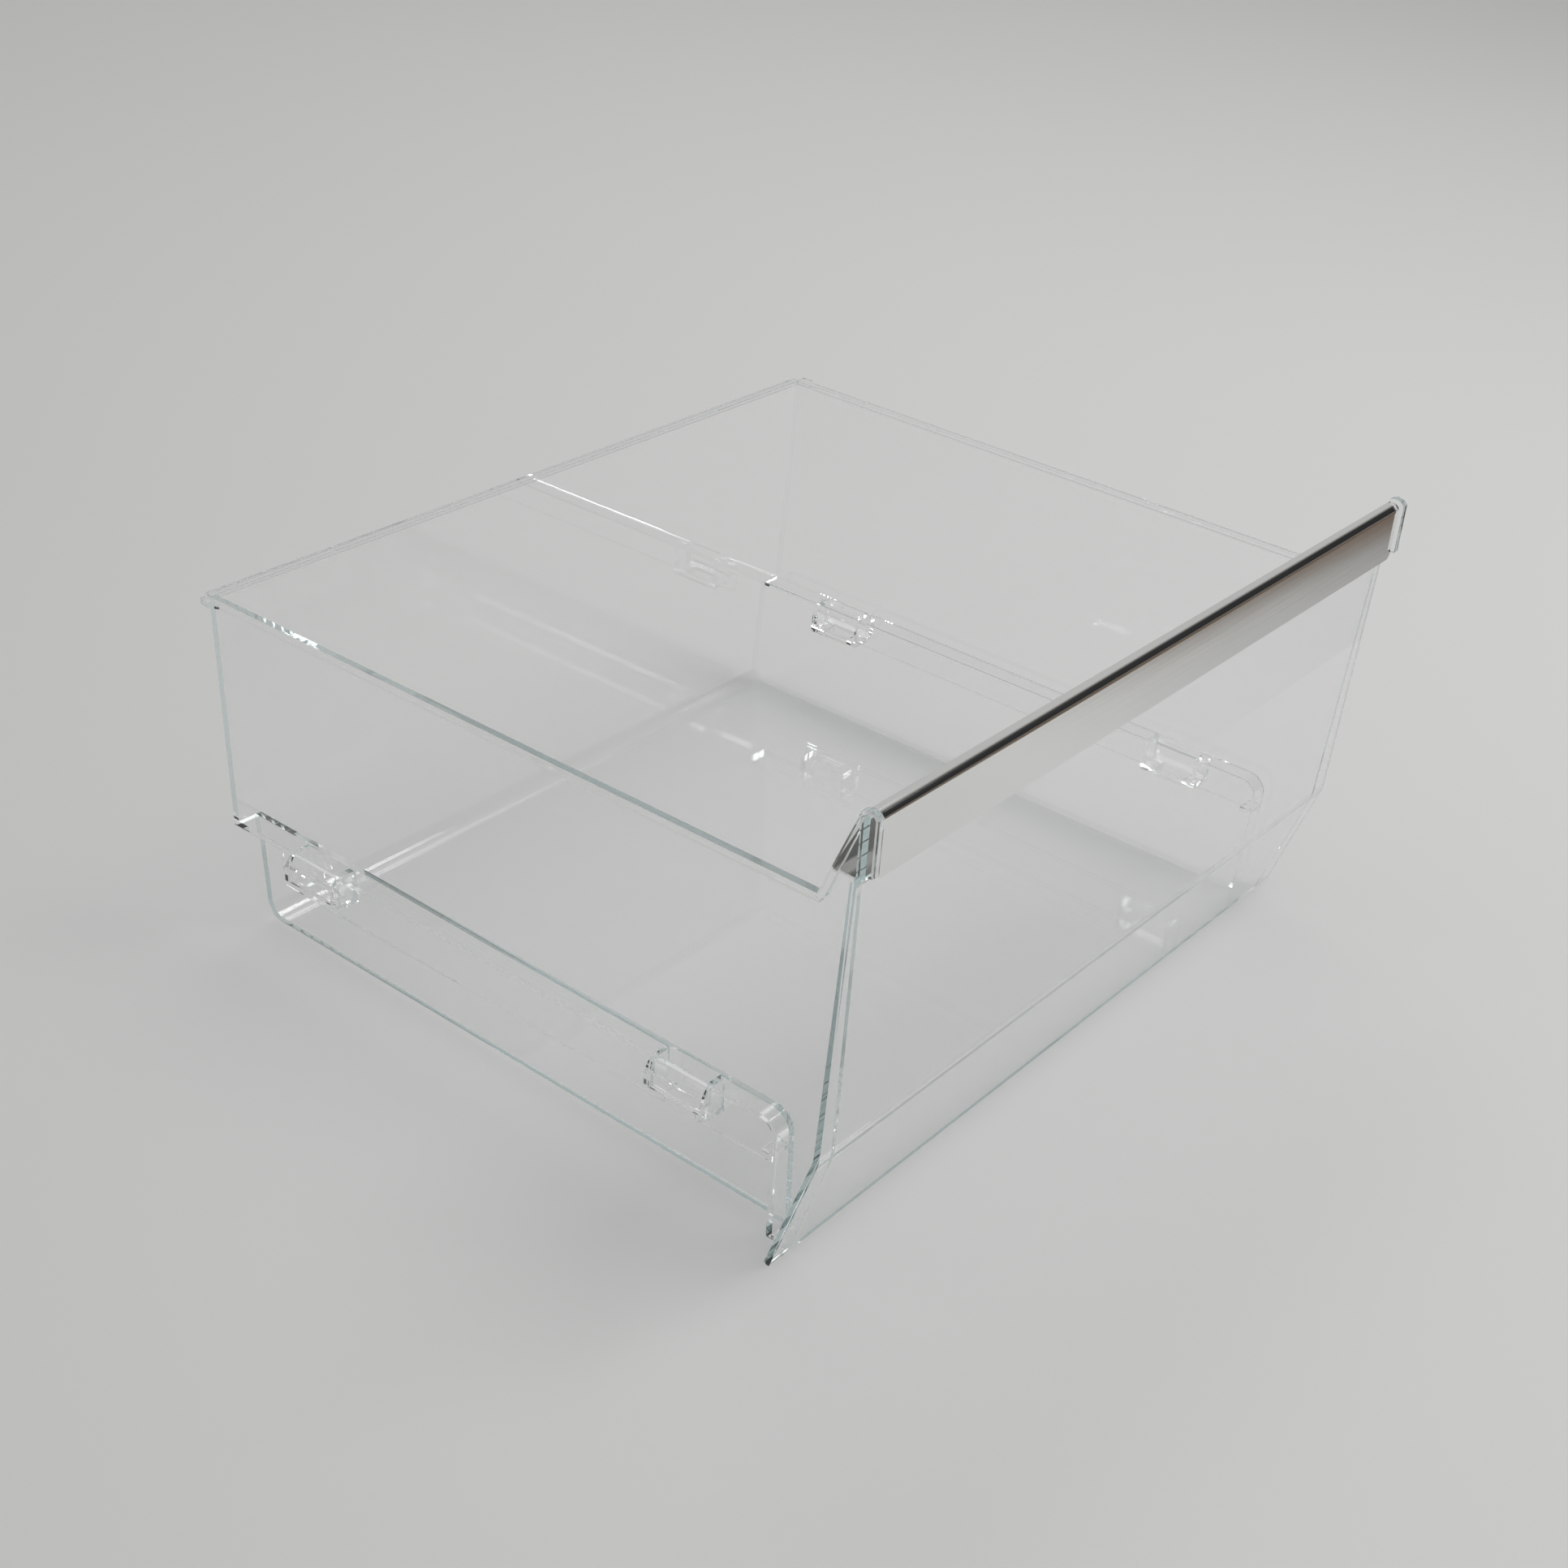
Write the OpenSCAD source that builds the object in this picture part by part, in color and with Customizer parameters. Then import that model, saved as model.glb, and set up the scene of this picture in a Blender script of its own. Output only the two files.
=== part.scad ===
// Fridge drawer: a clear one-piece moulded tub with a raised front edge,
// stepped sides that run on the cabinet's rails, and a polished metal trim
// pushed on to the raised front edge.
// Frame: X is the width, the front faces -Y, Z is up. The origin is at the
// middle of the footprint, on the surface that the drawer stands on.

/* [Overall size] */
// Width over the front panel
front_w = 441; // [360:1:520]
// Height of the rim above the floor
rim_h = 194; // [170:1:220]
// How far the handle rises above the rim
handle_h = 47; // [42:1:55]
// Distance from the back flange to the front face of the handle ends
depth = 396; // [370:1:430]

/* [Walls] */
// Thickness of the moulded walls
wall = 2.4; // [2:0.1:3]
// Thickness of the floor
floor_t = 3; // [2:0.1:4]
// Thickness of the front panel
panel_t = 3; // [2:0.1:3]
// Inward lean of each side wall from the rim to the floor
side_draft = 9.6; // [4:0.1:11]
// Angle by which each side wall closes in towards the front, in degrees
toe = 0.5; // [0:0.1:0.7]
// Radius where the floor turns up into the back wall
back_r = 12; // [6:1:20]
// Radius of the bend in the front panel
panel_bend_r = 25; // [10:1:40]

/* [Rim] */
// How far the flange stands out from the side wall at the front
flange_front = 2.7; // [1.5:0.1:3.2]
// How far the flange stands out from the side wall at the back
flange_back = 2.9; // [1.5:0.1:5]
// Thickness of the rim flange
flange_t = 2.8; // [2:0.1:4]
// How far the small ear at each back corner stands out past the flange
ear = 2.9; // [2:0.1:5]

/* [Rail recesses] */
// Height of the underside of the ledge above the floor
ledge_z = 64.8; // [55:0.1:80]
// Width of the ledge at its underside
ledge_w = 12.2; // [10:0.1:16]
// Distance from the handle ends to the front face of the recess
recess_front = 45.2; // [42:0.1:60]
// Radius of the upper front corner of the recess
recess_r = 8; // [3:0.5:12]
// Height of the lower edge of the hanging lip
lip_z = 45; // [38:0.1:50]
// Thickness of the hanging lip
lip_t = 2.2; // [1.5:0.1:3]

/* [Stop pockets] */
// Length of each pocket along the rail
pocket_l = 34; // [26:1:44]
// Middle of the front pocket, measured from the middle of the drawer
pocket_front_y = -101; // [-112:1:-60]
// Middle of the rear pocket, measured from the middle of the drawer
pocket_rear_y = 136; // [80:1:146]
// How far the pocket bulges out of the side wall
pocket_bulge = 4; // [1:0.1:5]
// Length of the window in the bottom of the pocket
window_l = 18; // [10:1:20]
// Width of the window in the bottom of the pocket
window_w = 8.4; // [5:0.1:8.6]

/* [Handle trim] */
// Thickness of the metal sheet
trim_t = 1; // [0.6:0.1:1.4]
// Height of the trim's front face
trim_h = 29.3; // [24:0.1:31]
// Clear space between the ends of the trim's rear leg and the side walls
trim_gap = 1.2; // [0.8:0.1:2]
// Width of the clear handle end beside the trim
cap_w = 4; // [3.5:0.5:7]
// Radius of the lower corners of the trim's front face
trim_r = 3.5; // [1:0.5:6]

/* [Hidden] */
$fn = 64;

hw = front_w / 2;                 // half width of the front panel
yf = -depth / 2;                  // front face of the handle ends
yb = depth / 2;                   // back edge of the back flange
top_z = rim_h + handle_h;         // top of the handle
side_x = hw - 1.8;                // outer face of the side wall at the rim
back_y = yb - 3;                  // outer face of the back wall
bend_y = yf + 26;                 // where the rim turns up to the handle
rf_y = yf + recess_front;         // groove side of the recess's front face
draft = side_draft / rim_h;       // lean of the side wall per millimetre
lean_in = 5;                      // lean of the recessed wall, floor to ledge

// Front surface of the panel, from the tip up to the handle
tip = [yf + 34, 0];
kink = [yf + 12.67, 67.5];
jog_lo = [yf + 7.2, rim_h + 12];
jog_hi = [yf + 4.9, rim_h + 15.5];
front_top = [yf + 4.9, top_z - 4.1];
// Rear surface of the panel, one panel thickness behind it
r_jog_lo = [yf + 7.2 + panel_t, rim_h + 12.9];
r_jog_hi = [yf + 4.9 + panel_t, rim_h + 16.2];
r_top = [yf + 4.9 + panel_t, top_z - 4.1];

// Angles of the panel's two straight runs from the vertical, and the middle
// of the bend between them
a_lo = atan2(tip[0] - kink[0], kink[1] - tip[1]);
a_up = atan2(kink[0] - jog_lo[0], jog_lo[1] - kink[1]);
a_mid = (a_lo + a_up) / 2;
bend_c = kink + panel_bend_r / cos((a_lo - a_up) / 2) * [cos(a_mid), sin(a_mid)];
function bend_arc(r) = [for (i = [0:6])
    bend_c - r * [cos(a_lo + (a_up - a_lo) * i / 6), sin(a_lo + (a_up - a_lo) * i / 6)]];
// y of the panel's rear surface on the lower run, at height z
function rear_lo(z) = tip[0] + panel_t / cos(a_lo) - z * tan(a_lo);

// x of the outer face of the side wall at the rim, at position y
function wx(y) = side_x + tan(toe) * y;
// x of the outer face of the side wall at height z, half way along the drawer
function sx(z) = side_x - draft * (rim_h - z);
// x of the outer face of the recessed lower wall at height z
function lx(z) = sx(ledge_z) - ledge_w - lean_in * (ledge_z - z) / ledge_z;

// A YZ outline drawn as [y, z] points, extruded along X between x0 and x1
module along_x(x0, x1) {
    translate([x0, 0, 0]) rotate([90, 0, 90]) linear_extrude(x1 - x0) children();
}

// An XZ outline drawn as [x, z] points, extruded along Y between y0 and y1
module along_y(y0, y1) {
    translate([0, y1, 0]) rotate([90, 0, 0]) linear_extrude(y1 - y0) children();
}

module both_sides() {
    children();
    mirror([1, 0, 0]) children();
}

// Turned with the right side wall by the toe, about the wall itself
module toed() {
    translate([side_x, 0, 0]) rotate([0, 0, -toe]) translate([-side_x, 0, 0]) children();
}

module on_side_walls() {
    both_sides() toed() children();
}

// Front to rear outline of the tub, seen from the side. The raised front
// corner of the side walls belongs to it.
module tub_side() {
    difference() {
        polygon(concat(
            [[back_y, rim_h], [back_y, 0], tip], bend_arc(panel_bend_r),
            [jog_lo, jog_hi, [yf + 5.5, top_z - 4], [yf + 8.9, top_z - 4],
             [bend_y, rim_h]]
        ));
        // the floor turns up into the back wall
        difference() {
            translate([back_y - back_r, -1]) square([back_r + 1, back_r + 1]);
            translate([back_y - back_r, back_r]) circle(back_r);
        }
    }
}

// The space inside the tub, seen from the side
module cavity_side() {
    r = back_r - wall;
    difference() {
        polygon(concat(
            [[back_y - wall, 400], [back_y - wall, floor_t],
             [rear_lo(floor_t), floor_t]], bend_arc(panel_bend_r - panel_t),
            [r_jog_lo, r_jog_hi, [r_jog_hi[0], 400]]
        ));
        difference() {
            translate([back_y - wall - r, floor_t - 1]) square([r + 1, r + 1]);
            translate([back_y - wall - r, floor_t + r]) circle(r);
        }
    }
}

// Side outline of the recess under the ledge: z1 is its ceiling, y1 its front
// face and r the radius between them
module recess_side(y1, z1, r) {
    polygon([
        [y1 + r, z1], [yb + 20, z1], [yb + 20, -20], [y1 + 1.6, -20],
        [y1 + 1.2, 0], [y1, z1 - r]
    ]);
    translate([y1 + r, z1 - r]) circle(r);
}

// Right half of the tub's cross section at full width, with a radius along
// the floor
module wide_half(inset, z0, r) {
    a = sx(z0 + r) - inset;
    polygon([
        [-300, z0], [a - r, z0], [a, z0 + r], [sx(400) - inset, 400], [-300, 400]
    ]);
    translate([a - r, z0 + r]) circle(r);
}

// Space between the two side walls
module wide_body(inset, z0, r) {
    intersection() {
        toed() along_y(-320, 320) wide_half(inset, z0, r);
        mirror([1, 0, 0]) toed() along_y(-320, 320) wide_half(inset, z0, r);
    }
}

// Cross section of the narrow lower part between the rails
module narrow_section(inset, z0, z1, r) {
    a = lx(z0 + r) - inset;
    b = lx(z1) - inset;
    polygon([
        [-a + r, z0], [a - r, z0], [a, z0 + r],
        [b, z1], [-b, z1], [-a, z0 + r]
    ]);
    translate([a - r, z0 + r]) circle(r);
    translate([-a + r, z0 + r]) circle(r);
}

module tub_outer() {
    difference() {
        intersection() {
            wide_body(0, 0, 2.5);
            along_x(-300, 300) tub_side();
        }
        // full width is kept in front of the recess and above the ledge
        along_x(-300, 300) recess_side(rf_y, ledge_z, recess_r);
    }
    intersection() {
        along_y(rf_y - 20, 300) narrow_section(0, 0, ledge_z + 1, 3.5);
        along_x(-300, 300) tub_side();
    }
}

module tub_cavity() {
    difference() {
        intersection() {
            wide_body(wall, floor_t, 1);
            along_x(-300, 300) cavity_side();
        }
        along_x(-300, 300)
            recess_side(rf_y - wall, ledge_z + wall, recess_r + wall);
    }
    intersection() {
        along_y(rf_y - wall - 12, 300)
            narrow_section(wall, floor_t, ledge_z + wall + 1, 1.5);
        along_x(-300, 300) cavity_side();
    }
}

// Front panel over the full width, with its ends standing past the sides
module front_panel() {
    rear = bend_arc(panel_bend_r - panel_t);
    along_x(-hw, hw)
        polygon(concat(
            [tip], bend_arc(panel_bend_r),
            [jog_lo, jog_hi, front_top, front_top + [0.7, 0.7],
             r_top + [-0.7, 0.7], r_top, r_jog_hi, r_jog_lo],
            [for (i = [6:-1:0]) rear[i]],
            [[rear_lo(0), 0]]
        ));
}

// Clear end piece of the handle at one side: the rim flange follows the raised
// corner of the side wall, and a block closes the end of the metal trim
module handle_end() {
    // block in front of the panel
    along_x(hw - cap_w, hw) {
        polygon([
            [yf, rim_h + 19], [yf, top_z - 2.6], [yf + 2, top_z - 0.6],
            [yf + 5.4, top_z], [yf + 8, top_z - 0.9], [yf + 9, top_z - 3.6],
            [yf + 7.9, top_z - 3.6], [yf + 7.9, rim_h + 16.5],
            [yf + 4.9, rim_h + 16.5], [yf + 2.8, rim_h + 18.5]
        ]);
    }
    // sloping part of the rim flange
    along_x(wx(bend_y) - wall, hw) {
        polygon([
            [bend_y, rim_h], [yf + 24.4, rim_h - 1],
            [yf + 21.7, rim_h + 1.2], [yf + 16.4, rim_h + 16],
            [yf + 8.2, rim_h + 37.2], [yf + 7.9, top_z - 2.6],
            [yf + 8.6, top_z - 3]
        ]);
    }
}

// Outward flange along the back and the sides, with a small ear at each back
// corner. The corners between them are left open.
module rim_flange() {
    bx = wx(back_y) + flange_back;
    translate([0, 0, rim_h - flange_t]) linear_extrude(flange_t) {
        polygon([
            [-wx(back_y) + 0.4, back_y - wall], [wx(back_y) - 0.4, back_y - wall],
            [wx(back_y) - 0.4, yb], [-wx(back_y) + 0.4, yb]
        ]);
    }
    both_sides()
        translate([0, 0, rim_h - flange_t]) linear_extrude(flange_t)
            polygon([
                [wx(back_y) - wall / 2, back_y], [bx + ear - 1, back_y],
                [bx + ear, back_y - 2.5], [bx + ear, back_y - 6.5],
                [bx, back_y - 11], [wx(bend_y) + flange_front, yf + 24.4],
                [wx(bend_y) - wall / 2, yf + 24.4]
            ]);
}

// Cross section of the side wall's lower edge bulged out at a pocket, drawn
// in the side wall's frame
module pocket_section() {
    z0 = lip_z + 3;
    b = sx(ledge_z) + pocket_bulge;
    polygon([
        [lx(z0) - 2.2, z0], [lx(z0) - 2.2, ledge_z + 1.2],
        [sx(ledge_z + 1.2), ledge_z + 1.2], [b, ledge_z - 4.4],
        [b, z0 + 4.4], [sx(ledge_z) - 0.6, z0]
    ]);
}

// Stop pocket: the ledge drops into a small bulged box with a window
module pocket_outer() {
    along_y(-pocket_l / 2, pocket_l / 2) pocket_section();
}

module pocket_inner() {
    z0 = lip_z + 3;
    xi = lx(ledge_z) + 0.7;
    xo = sx(ledge_z) + pocket_bulge - lip_t;
    top = sx(ledge_z + wall) - wall - 1;
    along_y(-pocket_l / 2 + lip_t, pocket_l / 2 - lip_t)
        polygon([
            [xi, ledge_z + wall + 3], [top, ledge_z + wall + 3],
            [top, ledge_z + wall + 0.4], [xo, ledge_z - 4.4], [xo, z0 + 3.5],
            [sx(ledge_z) - lip_t - 0.6, z0 + lip_t], [xi, z0 + lip_t]
        ]);
}

module pocket_window() {
    xm = (lx(ledge_z) + 0.7 + sx(ledge_z)) / 2;
    translate([xm - window_w / 2, -window_l / 2, lip_z - 6])
        cube([window_w, window_l, 14]);
}

// Thin lip that hangs from the side wall's lower edge, over the rail. Its
// inner face is upright.
module hanging_lip() {
    along_y(rf_y - 1, pocket_rear_y + pocket_l / 2 + 6)
        polygon([
            [sx(ledge_z + 1), ledge_z + 1], [sx(ledge_z), ledge_z],
            [sx(ledge_z) - 0.5, lip_z],
            [sx(ledge_z) - lip_t, lip_z], [sx(ledge_z) - lip_t, ledge_z + 1]
        ]);
    // short shelf that ties the lip to the front face of the recess
    along_y(rf_y - 1, rf_y + 5)
        polygon([
            [lx(lip_z + 3) - 0.5, lip_z + 3], [sx(ledge_z) - 1, lip_z + 3],
            [sx(ledge_z) - 1, lip_z + 5.2], [lx(lip_z + 3) - 0.5, lip_z + 5.2]
        ]);
}

module drawer_body() {
    color([0.80, 0.90, 0.90, 0.45])
    difference() {
        union() {
            difference() {
                union() {
                    tub_outer();
                    rim_flange();
                    both_sides() handle_end();
                    on_side_walls() hanging_lip();
                    on_side_walls() for (y = [pocket_front_y, pocket_rear_y])
                        translate([0, y, 0]) pocket_outer();
                }
                tub_cavity();
                on_side_walls() for (y = [pocket_front_y, pocket_rear_y])
                    translate([0, y, 0]) pocket_inner();
            }
            front_panel();
        }
        on_side_walls() for (y = [pocket_front_y, pocket_rear_y])
            translate([0, y, 0]) pocket_window();
    }
}

// Metal trim: front face, rounded top, sloping rear leg and a lower web that
// grips the rear face of the panel
module handle_trim() {
    zt = top_z - 2.1;
    zb = zt - trim_h;
    half = hw - cap_w - 0.5;
    half_back = wx(bend_y) + draft * 12 - wall - trim_gap;
    color([0.72, 0.72, 0.72])
    difference() {
        union() {
            // front face with rounded lower corners
            intersection() {
                along_x(-half, half) polygon([
                    [yf + 1.8, zb], [yf + 1.8, zt - 3.5],
                    [yf + 1.8 + trim_t, zt - 3.5], [yf + 1.8 + trim_t, zb]
                ]);
                along_y(yf, yf + 10) {
                    translate([-half + trim_r, zb]) square([2 * half - 2 * trim_r, 40]);
                    translate([-half, zb + trim_r]) square([2 * half, 40]);
                    translate([-half + trim_r, zb + trim_r]) circle(trim_r);
                    translate([half - trim_r, zb + trim_r]) circle(trim_r);
                }
            }
            // rounded top
            along_x(-half, half) difference() {
                union() {
                    translate([yf + 5.3, zt - 3.5]) circle(3.5);
                    translate([yf + 5.3, zt - 3.5]) square([2.6, 3.5]);
                }
                translate([yf + 5.3, zt - 3.5]) circle(3.5 - trim_t);
                translate([yf + 5.3, zt - 7.5]) square([6, 7.5 - trim_t]);
                translate([yf, zt - 10]) square([10, 6.5]);
            }
            // sloping rear leg and lower web
            along_x(-half_back, half_back) polygon([
                [yf + 7.2, zt], [yf + 7.9, zt],
                [yf + 23.6, rim_h + 12.4], [yf + 23.2, rim_h + 11.6],
                [yf + 10.2, rim_h + 11.6], [yf + 10.2, rim_h + 12.6],
                [yf + 22.2, rim_h + 12.6], [yf + 7.2, zt - trim_t]
            ]);
        }
        // room for the panel's top edge
        along_x(-hw, hw) polygon([
            [yf + 4.8, rim_h + 8], [yf + 4.8, top_z - 4], [yf + 5.55, top_z - 3.3],
            [r_top[0] - 0.65, top_z - 3.3], [r_top[0] + 0.1, top_z - 4],
            [r_jog_hi[0] + 0.1, rim_h + 16.1], [r_jog_lo[0] + 0.1, rim_h + 12.8],
            [r_jog_lo[0] + 0.1, rim_h + 8]
        ]);
    }
}

drawer_body();
handle_trim();
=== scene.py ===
import math

import bpy
from mathutils import Matrix, Vector

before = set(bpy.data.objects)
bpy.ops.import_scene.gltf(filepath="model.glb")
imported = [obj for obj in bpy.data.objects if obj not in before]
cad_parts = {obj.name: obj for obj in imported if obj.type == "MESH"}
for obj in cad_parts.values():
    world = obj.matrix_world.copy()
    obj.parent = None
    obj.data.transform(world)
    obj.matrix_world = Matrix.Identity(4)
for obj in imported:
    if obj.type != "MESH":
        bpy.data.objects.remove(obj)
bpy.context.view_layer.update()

scene = bpy.context.scene
scene.view_settings.view_transform = "Standard"
scene.view_settings.look = "None"
scene.view_settings.exposure = 0.0
scene.view_settings.gamma = 1.0

SOFT = 0.0006       # radius that a moulding's edges are rounded to, in metres


# ------------------------------------------------------------------ materials
def new_material(name):
    mat = bpy.data.materials.new(name)
    mat.use_nodes = True
    nt = mat.node_tree
    for n in list(nt.nodes):
        nt.nodes.remove(n)
    out = nt.nodes.new("ShaderNodeOutputMaterial")
    return mat, nt, out


def noise(nt, scale, detail=3.0, rough=0.55, vector=None, stretch=None):
    co = nt.nodes.new("ShaderNodeTexCoord")
    src = co.outputs["Object"]
    if stretch is not None:
        mp = nt.nodes.new("ShaderNodeMapping")
        mp.inputs["Scale"].default_value = stretch
        nt.links.new(src, mp.inputs["Vector"])
        src = mp.outputs["Vector"]
    n = nt.nodes.new("ShaderNodeTexNoise")
    n.inputs["Scale"].default_value = scale
    n.inputs["Detail"].default_value = detail
    n.inputs["Roughness"].default_value = rough
    nt.links.new(src, n.inputs["Vector"])
    return n


def remap(nt, socket, a, b, c, d):
    m = nt.nodes.new("ShaderNodeMapRange")
    m.inputs["From Min"].default_value = a
    m.inputs["From Max"].default_value = b
    m.inputs["To Min"].default_value = c
    m.inputs["To Max"].default_value = d
    nt.links.new(socket, m.inputs["Value"])
    return m.outputs["Result"]


def clear_plastic():
    mat, nt, out = new_material("clear_plastic")
    p = nt.nodes.new("ShaderNodeBsdfPrincipled")
    p.inputs["Base Color"].default_value = (0.998, 0.999, 0.999, 1.0)
    p.inputs["Transmission Weight"].default_value = 1.0
    p.inputs["IOR"].default_value = 1.52
    # moulded surface: nearly polished, with faint haze and scuffs
    haze = noise(nt, 9.0, 4.0)
    rough = remap(nt, haze.outputs["Fac"], 0.35, 0.75, 0.0, 0.035)
    nt.links.new(rough, p.inputs["Roughness"])
    # slow waviness of the moulding
    wav = noise(nt, 14.0, 2.0, 0.45, stretch=(1.0, 1.0, 1.6))
    bump = nt.nodes.new("ShaderNodeBump")
    bump.inputs["Strength"].default_value = 0.02
    bump.inputs["Distance"].default_value = 0.0015
    nt.links.new(wav.outputs["Fac"], bump.inputs["Height"])
    nt.links.new(bump.outputs["Normal"], p.inputs["Normal"])
    # lamps and bounced light pass straight through a clear wall
    path = nt.nodes.new("ShaderNodeLightPath")
    either = nt.nodes.new("ShaderNodeMath")
    either.operation = "MAXIMUM"
    nt.links.new(path.outputs["Is Shadow Ray"], either.inputs[0])
    nt.links.new(path.outputs["Is Diffuse Ray"], either.inputs[1])
    # a ray caught between a wall's two faces leaves it in the end
    caught = nt.nodes.new("ShaderNodeMath")
    caught.operation = "GREATER_THAN"
    caught.inputs[1].default_value = 24.0
    nt.links.new(path.outputs["Ray Depth"], caught.inputs[0])
    straight = nt.nodes.new("ShaderNodeMath")
    straight.operation = "MAXIMUM"
    nt.links.new(either.outputs["Value"], straight.inputs[0])
    nt.links.new(caught.outputs["Value"], straight.inputs[1])
    through = nt.nodes.new("ShaderNodeBsdfTransparent")
    facing = nt.nodes.new("ShaderNodeLayerWeight")
    facing.inputs["Blend"].default_value = 0.5
    graze = nt.nodes.new("ShaderNodeMath")
    graze.operation = "POWER"
    graze.inputs[1].default_value = 4.0
    nt.links.new(facing.outputs["Facing"], graze.inputs[0])
    tone = nt.nodes.new("ShaderNodeMixRGB")
    tone.inputs["Color1"].default_value = (0.995, 0.997, 0.997, 1.0)
    tone.inputs["Color2"].default_value = (0.55, 0.57, 0.57, 1.0)
    nt.links.new(graze.outputs["Value"], tone.inputs["Fac"])
    nt.links.new(tone.outputs["Color"], through.inputs["Color"])
    mix = nt.nodes.new("ShaderNodeMixShader")
    nt.links.new(straight.outputs["Value"], mix.inputs["Fac"])
    nt.links.new(p.outputs["BSDF"], mix.inputs[1])
    nt.links.new(through.outputs["BSDF"], mix.inputs[2])
    nt.links.new(mix.outputs["Shader"], out.inputs["Surface"])
    vol = nt.nodes.new("ShaderNodeVolumeAbsorption")
    vol.inputs["Color"].default_value = (0.50, 0.71, 0.72, 1.0)
    vol.inputs["Density"].default_value = 3.0
    nt.links.new(vol.outputs["Volume"], out.inputs["Volume"])
    return mat


def metal():
    mat, nt, out = new_material("metal_trim")
    p = nt.nodes.new("ShaderNodeBsdfPrincipled")
    p.inputs["Metallic"].default_value = 1.0
    # rolled sheet: fine grain along the strip, faint cloudiness
    grain = noise(nt, 900.0, 2.0, 0.5, stretch=(0.02, 1.0, 1.0))
    cloud = noise(nt, 18.0, 3.0, 0.5, stretch=(0.4, 1.0, 1.0))
    ramp = nt.nodes.new("ShaderNodeMixRGB")
    ramp.blend_type = "MIX"
    ramp.inputs["Color1"].default_value = (0.86, 0.86, 0.85, 1.0)
    ramp.inputs["Color2"].default_value = (0.90, 0.90, 0.89, 1.0)
    nt.links.new(remap(nt, cloud.outputs["Fac"], 0.3, 0.7, 0.0, 1.0), ramp.inputs["Fac"])
    nt.links.new(ramp.outputs["Color"], p.inputs["Base Color"])
    nt.links.new(remap(nt, grain.outputs["Fac"], 0.3, 0.7, 0.08, 0.12), p.inputs["Roughness"])
    bump = nt.nodes.new("ShaderNodeBump")
    bump.inputs["Strength"].default_value = 0.02
    bump.inputs["Distance"].default_value = 0.00005
    nt.links.new(grain.outputs["Fac"], bump.inputs["Height"])
    nt.links.new(bump.outputs["Normal"], p.inputs["Normal"])
    nt.links.new(p.outputs["BSDF"], out.inputs["Surface"])
    return mat


def floor_material():
    mat, nt, out = new_material("floor")
    p = nt.nodes.new("ShaderNodeBsdfPrincipled")
    p.inputs["Roughness"].default_value = 0.55
    p.inputs["Specular IOR Level"].default_value = 0.3
    cloud = noise(nt, 1.2, 3.0, 0.5)
    mix = nt.nodes.new("ShaderNodeMixRGB")
    mix.inputs["Color1"].default_value = (0.60, 0.60, 0.597, 1.0)
    mix.inputs["Color2"].default_value = (0.62, 0.62, 0.617, 1.0)
    nt.links.new(cloud.outputs["Fac"], mix.inputs["Fac"])
    nt.links.new(mix.outputs["Color"], p.inputs["Base Color"])
    nt.links.new(p.outputs["BSDF"], out.inputs["Surface"])
    return mat


def dress(obj, mat, width, angle=28):
    obj.data.materials.clear()
    obj.data.materials.append(mat)
    bev = obj.modifiers.new("edge", "BEVEL")
    bev.width = width
    bev.segments = 2
    bev.limit_method = "ANGLE"
    bev.angle_limit = math.radians(angle)
    bev.harden_normals = False
    bev.use_clamp_overlap = True


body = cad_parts["drawer_body"]
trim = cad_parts["handle_trim"]
dress(body, clear_plastic(), SOFT)
dress(trim, metal(), 0.0003)

# ---------------------------------------------------------------------- stage
bpy.ops.mesh.primitive_plane_add(size=14.0, location=(2.0, 2.0, -0.0005))
floor = bpy.context.object
floor.name = "floor"
floor.data.materials.append(floor_material())


def area(name, loc, target, sx, sy, power, color=(1, 1, 1)):
    data = bpy.data.lights.new(name, "AREA")
    data.shape = "RECTANGLE"
    data.size = sx
    data.size_y = sy
    data.energy = power
    data.color = color
    ob = bpy.data.objects.new(name, data)
    scene.collection.objects.link(ob)
    ob.location = loc
    ob.rotation_euler = (Vector(target) - Vector(loc)).to_track_quat("-Z", "Y").to_euler()
    return ob


# one large soft lamp high in front on the right, and a softer one behind
area("window", (1.0, -1.2, 2.5), (0, 0, 0.05), 1.3, 1.1, 41)
area("rear", (1.5, 1.2, 2.6), (1.6, 1.3, 0), 1.4, 1.4, 16)

# room around the sheet: pale, and darker in front on the right
world = bpy.data.worlds.new("world")
scene.world = world
world.use_nodes = True
wt = world.node_tree
bg = wt.nodes["Background"]
co = wt.nodes.new("ShaderNodeTexCoord")
dot = wt.nodes.new("ShaderNodeVectorMath")
dot.operation = "DOT_PRODUCT"
dot.inputs[1].default_value = Vector((0.78, -0.60, 0.18)).normalized()
wt.links.new(co.outputs["Generated"], dot.inputs[0])
ramp = wt.nodes.new("ShaderNodeValToRGB")
ramp.color_ramp.interpolation = "EASE"
ramp.color_ramp.elements[0].position = 0.55
ramp.color_ramp.elements[0].color = (0.62, 0.62, 0.61, 1.0)
ramp.color_ramp.elements[1].position = 0.86
ramp.color_ramp.elements[1].color = (0.035, 0.035, 0.035, 1.0)
wt.links.new(dot.outputs["Value"], ramp.inputs["Fac"])
wt.links.new(ramp.outputs["Color"], bg.inputs["Color"])
bg.inputs["Strength"].default_value = 0.82

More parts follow.
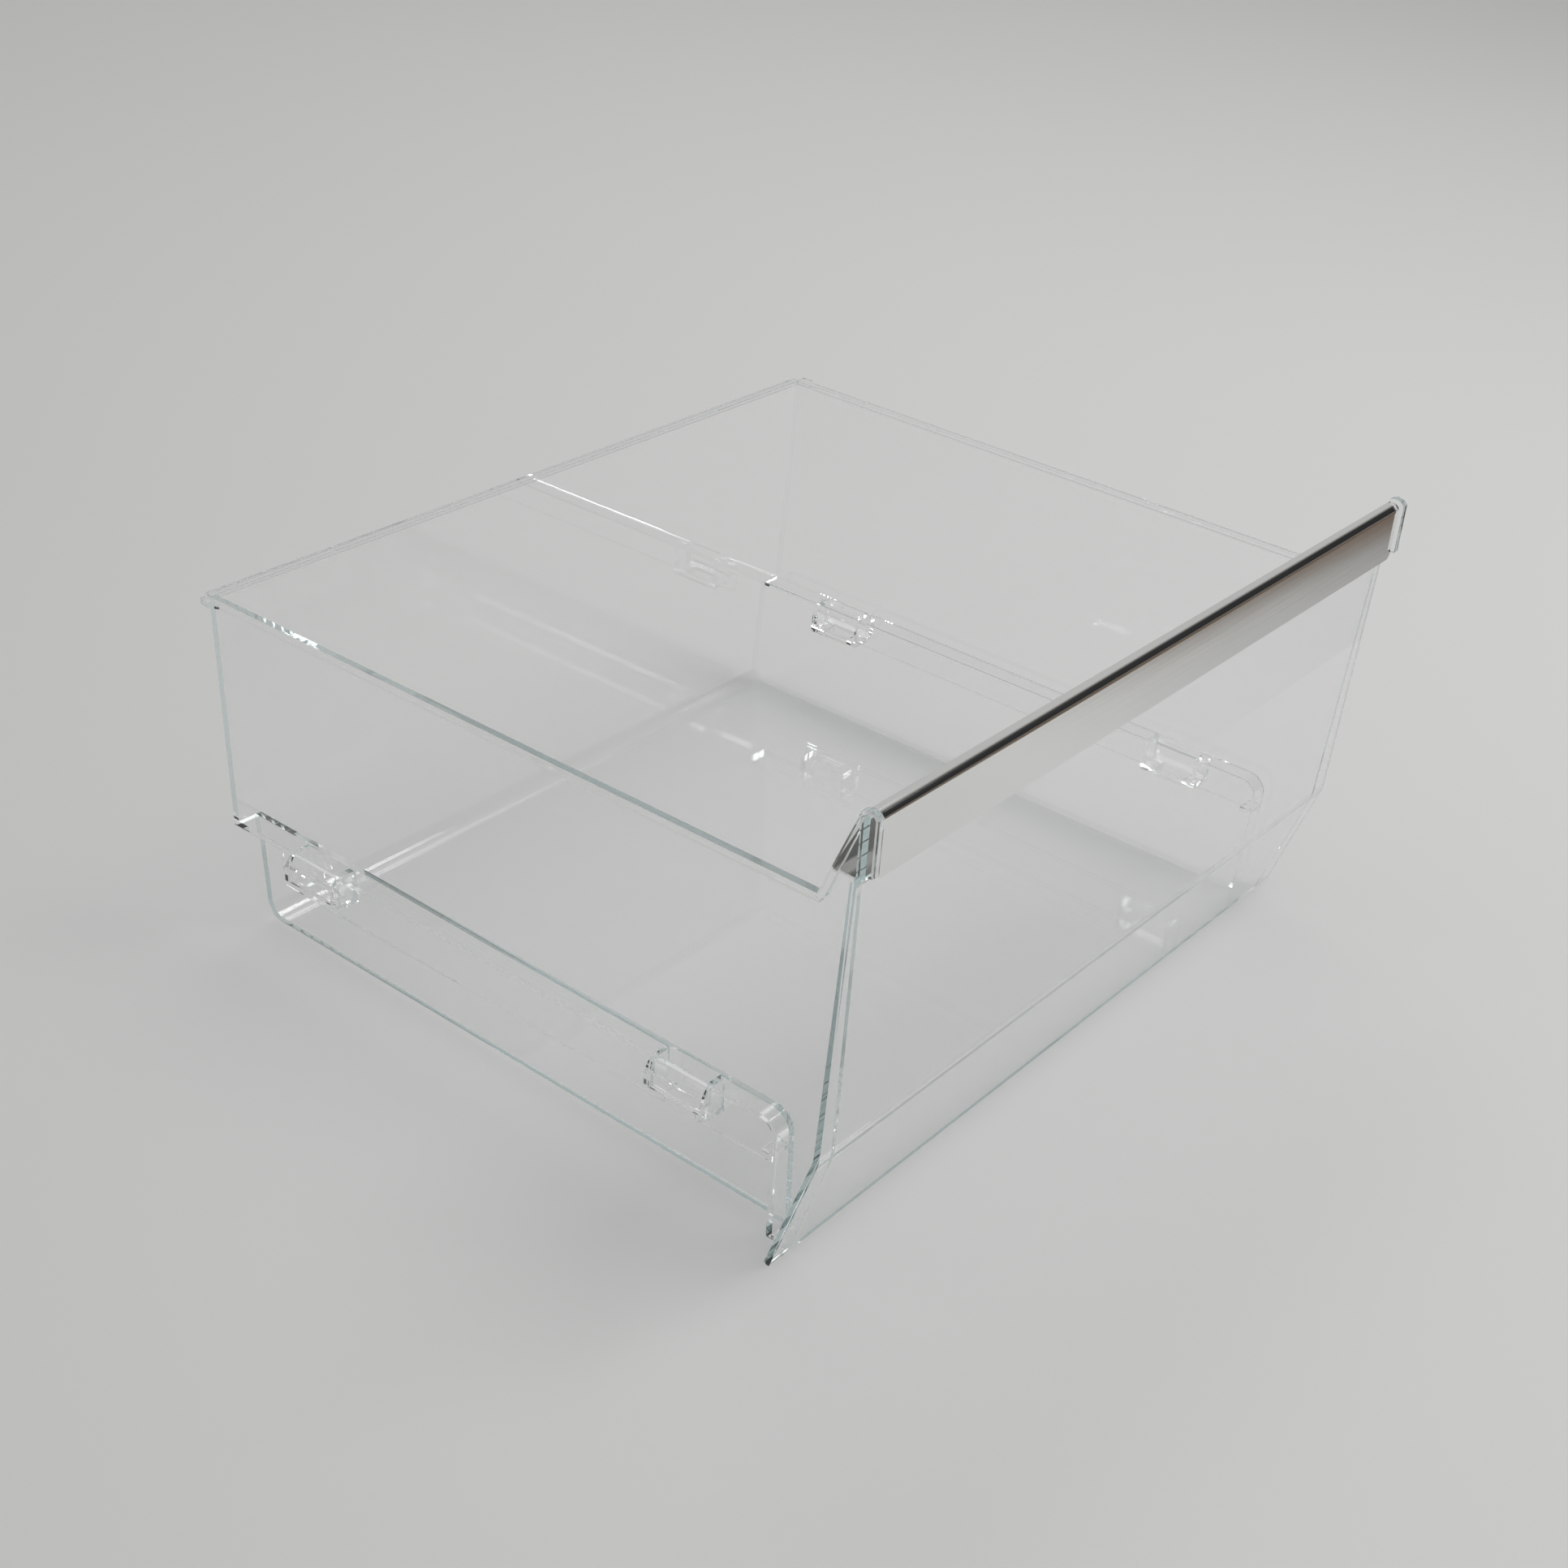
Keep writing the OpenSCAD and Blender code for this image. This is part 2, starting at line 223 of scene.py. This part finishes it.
# brown surface low on the right that only reflections show
mesh = bpy.data.meshes.new("table")
mesh.from_pydata([(0.20, -0.30, 0.0005), (0.20, -2.6, 0.0005),
                  (2.6, -2.6, 0.0005), (2.6, -0.30, 0.0005)], [], [(0, 1, 2, 3)])
table = bpy.data.objects.new("table", mesh)
scene.collection.objects.link(table)
table.visible_camera = False
table.visible_diffuse = False
table.visible_transmission = False
table.visible_shadow = False
mat, nt, out = new_material("table")
tp = nt.nodes.new("ShaderNodeBsdfPrincipled")
tp.inputs["Roughness"].default_value = 0.6
wood = noise(nt, 6.0, 5.0, 0.6, stretch=(1.0, 0.12, 1.0))
mixc = nt.nodes.new("ShaderNodeMixRGB")
mixc.inputs["Color1"].default_value = (0.10, 0.066, 0.042, 1.0)
mixc.inputs["Color2"].default_value = (0.15, 0.105, 0.070, 1.0)
nt.links.new(wood.outputs["Fac"], mixc.inputs["Fac"])
nt.links.new(mixc.outputs["Color"], tp.inputs["Base Color"])
# the brown starts along a slanting line; before it, painted shade darkens the
# pale floor softly towards the right, as a dark sheet that only reflections show
where = nt.nodes.new("ShaderNodeSeparateXYZ")
nt.links.new(nt.nodes.new("ShaderNodeTexCoord").outputs["Object"], where.inputs[0])
line = nt.nodes.new("ShaderNodeMath")
line.operation = "MULTIPLY_ADD"
line.inputs[1].default_value = 0.052
line.inputs[2].default_value = -0.4422
nt.links.new(where.outputs["X"], line.inputs[0])
beyond = nt.nodes.new("ShaderNodeMath")
beyond.operation = "SUBTRACT"
nt.links.new(line.outputs["Value"], beyond.inputs[0])
nt.links.new(where.outputs["Y"], beyond.inputs[1])
edge = remap(nt, beyond.outputs["Value"], -0.006, 0.006, 0.0, 1.0)
start = remap(nt, where.outputs["X"], 0.24, 0.42, 0.0, 1.0)
brown = nt.nodes.new("ShaderNodeMath")
brown.operation = "MULTIPLY"
nt.links.new(edge, brown.inputs[0])
nt.links.new(start, brown.inputs[1])
# painted shade: a near-black sheet, mixed in up to 0.48 towards the right, darkens the floor
# seen in reflections
painted_shade_sheet = nt.nodes.new("ShaderNodeBsdfDiffuse")
painted_shade_sheet.inputs["Color"].default_value = (0.02, 0.02, 0.02, 1.0)
clear = nt.nodes.new("ShaderNodeBsdfTransparent")
painted_shade_mix = nt.nodes.new("ShaderNodeMixShader")
nt.links.new(remap(nt, where.outputs["X"], 0.24, 0.78, 0.0, 0.48), painted_shade_mix.inputs["Fac"])
nt.links.new(clear.outputs["BSDF"], painted_shade_mix.inputs[1])
nt.links.new(painted_shade_sheet.outputs["BSDF"], painted_shade_mix.inputs[2])
over = nt.nodes.new("ShaderNodeMixShader")
nt.links.new(brown.outputs["Value"], over.inputs["Fac"])
nt.links.new(painted_shade_mix.outputs["Shader"], over.inputs[1])
nt.links.new(tp.outputs["BSDF"], over.inputs[2])
nt.links.new(over.outputs["Shader"], out.inputs["Surface"])
table.data.materials.append(mat)

scene.cycles.max_bounces = 40
scene.cycles.transmission_bounces = 40
scene.cycles.glossy_bounces = 40
scene.cycles.transparent_max_bounces = 64

# --------------------------------------------------------------------- camera
cam_data = bpy.data.cameras.new("camera")
cam = bpy.data.objects.new("camera", cam_data)
scene.collection.objects.link(cam)
cam_data.sensor_fit = "HORIZONTAL"
cam_data.sensor_width = 36.0
cam_data.lens = 36.0 * 2820.8 / 1932.0
cam_data.clip_start = 0.05
cam_data.clip_end = 60.0
right = Vector((0.63305744, -0.77141917, 0.06442630))
down = Vector((-0.35167382, -0.36074122, -0.86382365))
fwd = Vector((0.68961134, 0.52419294, -0.49965784))
m = Matrix.Identity(4)
for i in range(3):
    m[i][0] = right[i]
    m[i][1] = -down[i]
    m[i][2] = -fwd[i]
m.translation = Vector((-0.603383 - 0.2205, -0.809432 + 0.198, 0.479199 + 0.194))
cam.matrix_world = m
scene.camera = cam
